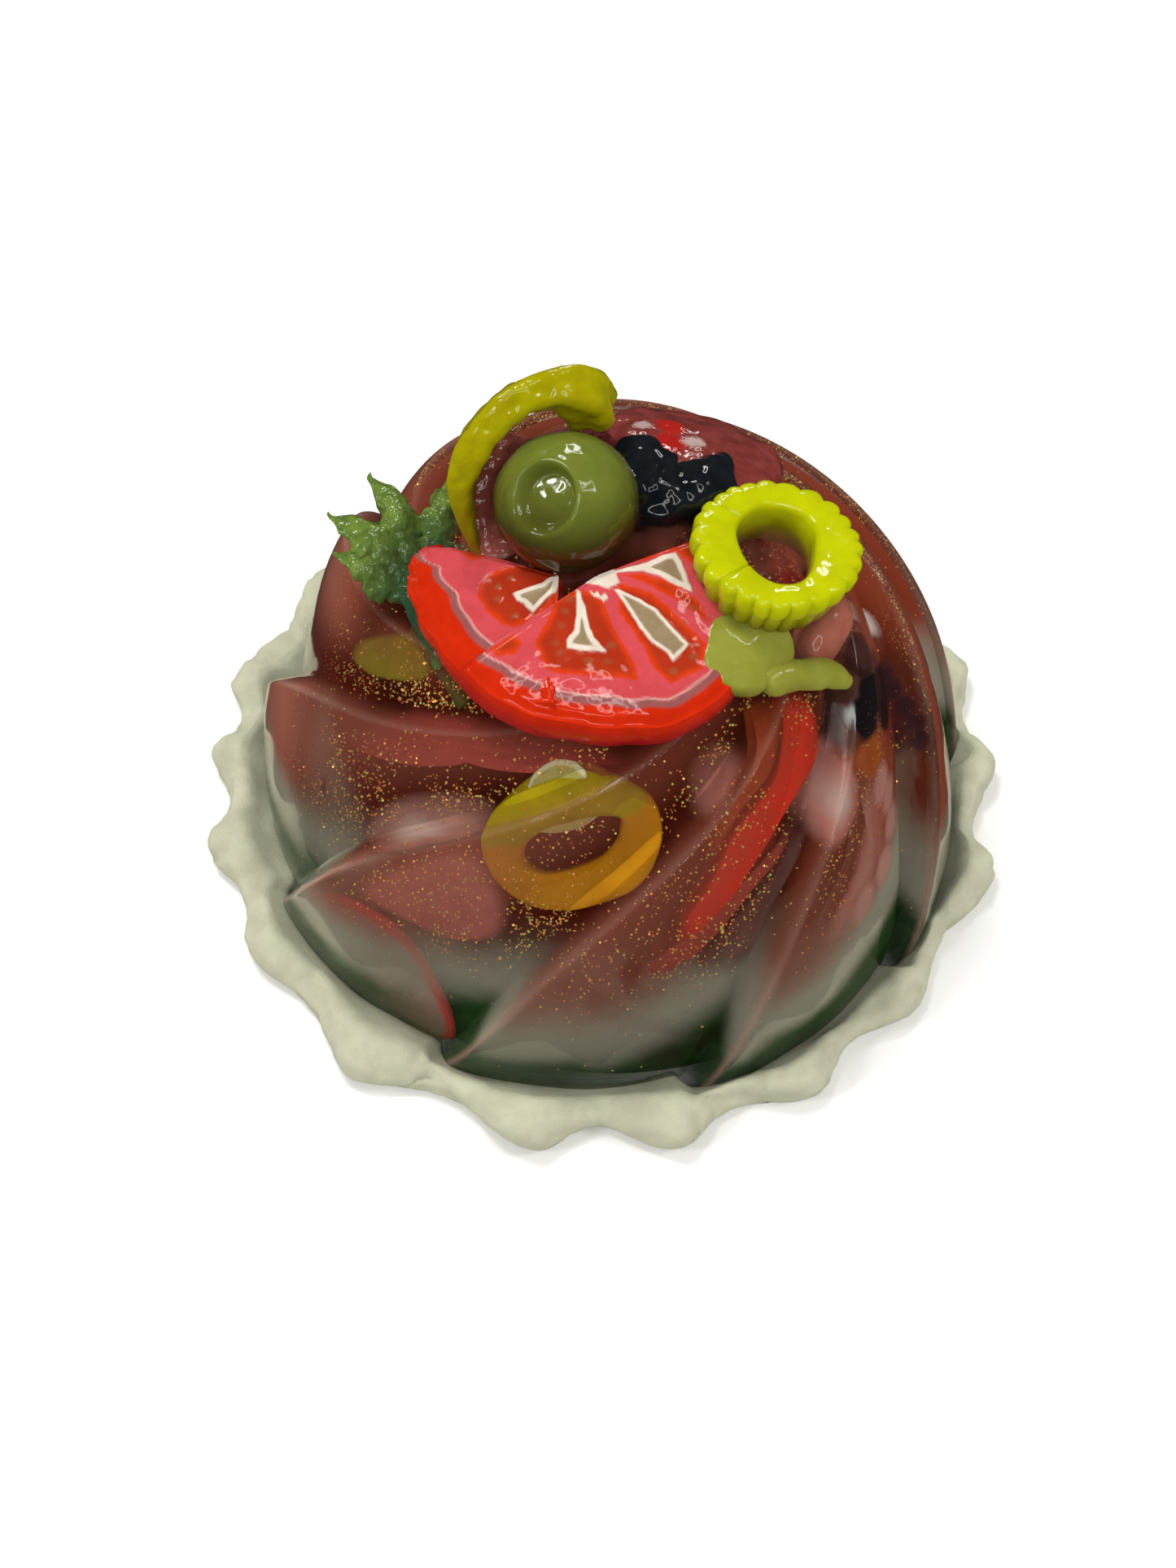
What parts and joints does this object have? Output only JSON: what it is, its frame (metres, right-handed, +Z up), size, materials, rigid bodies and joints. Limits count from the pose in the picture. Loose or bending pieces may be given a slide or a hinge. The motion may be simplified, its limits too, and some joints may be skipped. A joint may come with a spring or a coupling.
{
  "type": "play-food aspic",
  "caption": "Fluted dome of layered jelly with cut vegetables on top and a piped border round its foot, a display copy of a cold starter.",
  "frame": {"origin": "middle of the foot, on the surface it stands on", "axes": "+Z up; -Y towards the side with the cut tomato; +X to the right as seen from that side"},
  "size_m": [0.1146, 0.1136, 0.0767],
  "materials": {
    "brown_jelly": "clear cast resin, brown-red with gold glitter, polished",
    "milky_jelly": "cloudy cast resin, grey-white, polished",
    "green_jelly": "cast resin, dark green, polished",
    "cream_clay": "soft matte modelling clay, off-white",
    "tomato": "painted clay under clear gloss, tomato red",
    "green_olive": "satin clay under clear gloss, olive green",
    "black_olive": "glossy blue-black",
    "rose_slice": "rose-red under clear resin",
    "yellow_pepper": "glossy yellow-green",
    "ham": "dull pink with fine fibres",
    "herb": "glossy leaf green, paler at the tips",
    "pale_pickle": "cloudy pale green, wet gloss",
    "radish": "cloudy pink, wet gloss"
  },
  "bodies": {
    "root": {"jelly_dome": "brown_jelly", "milky_layer": "milky_jelly", "green_layer": "green_jelly", "piped_border": "cream_clay", "tomato_left": "tomato", "tomato_front": "tomato", "green_olive": "green_olive", "black_olive_slice": "black_olive", "rose_slice": "rose_slice", "pepper_ring": "yellow_pepper", "pepper_arc": "yellow_pepper", "ham_strip": "ham", "ham_shred": "ham", "herb_sprig": "herb", "pickle_chunk": "pale_pickle", "pickle_finger": "pale_pickle", "radish_lump": "radish"}
  },
  "joints": []
}
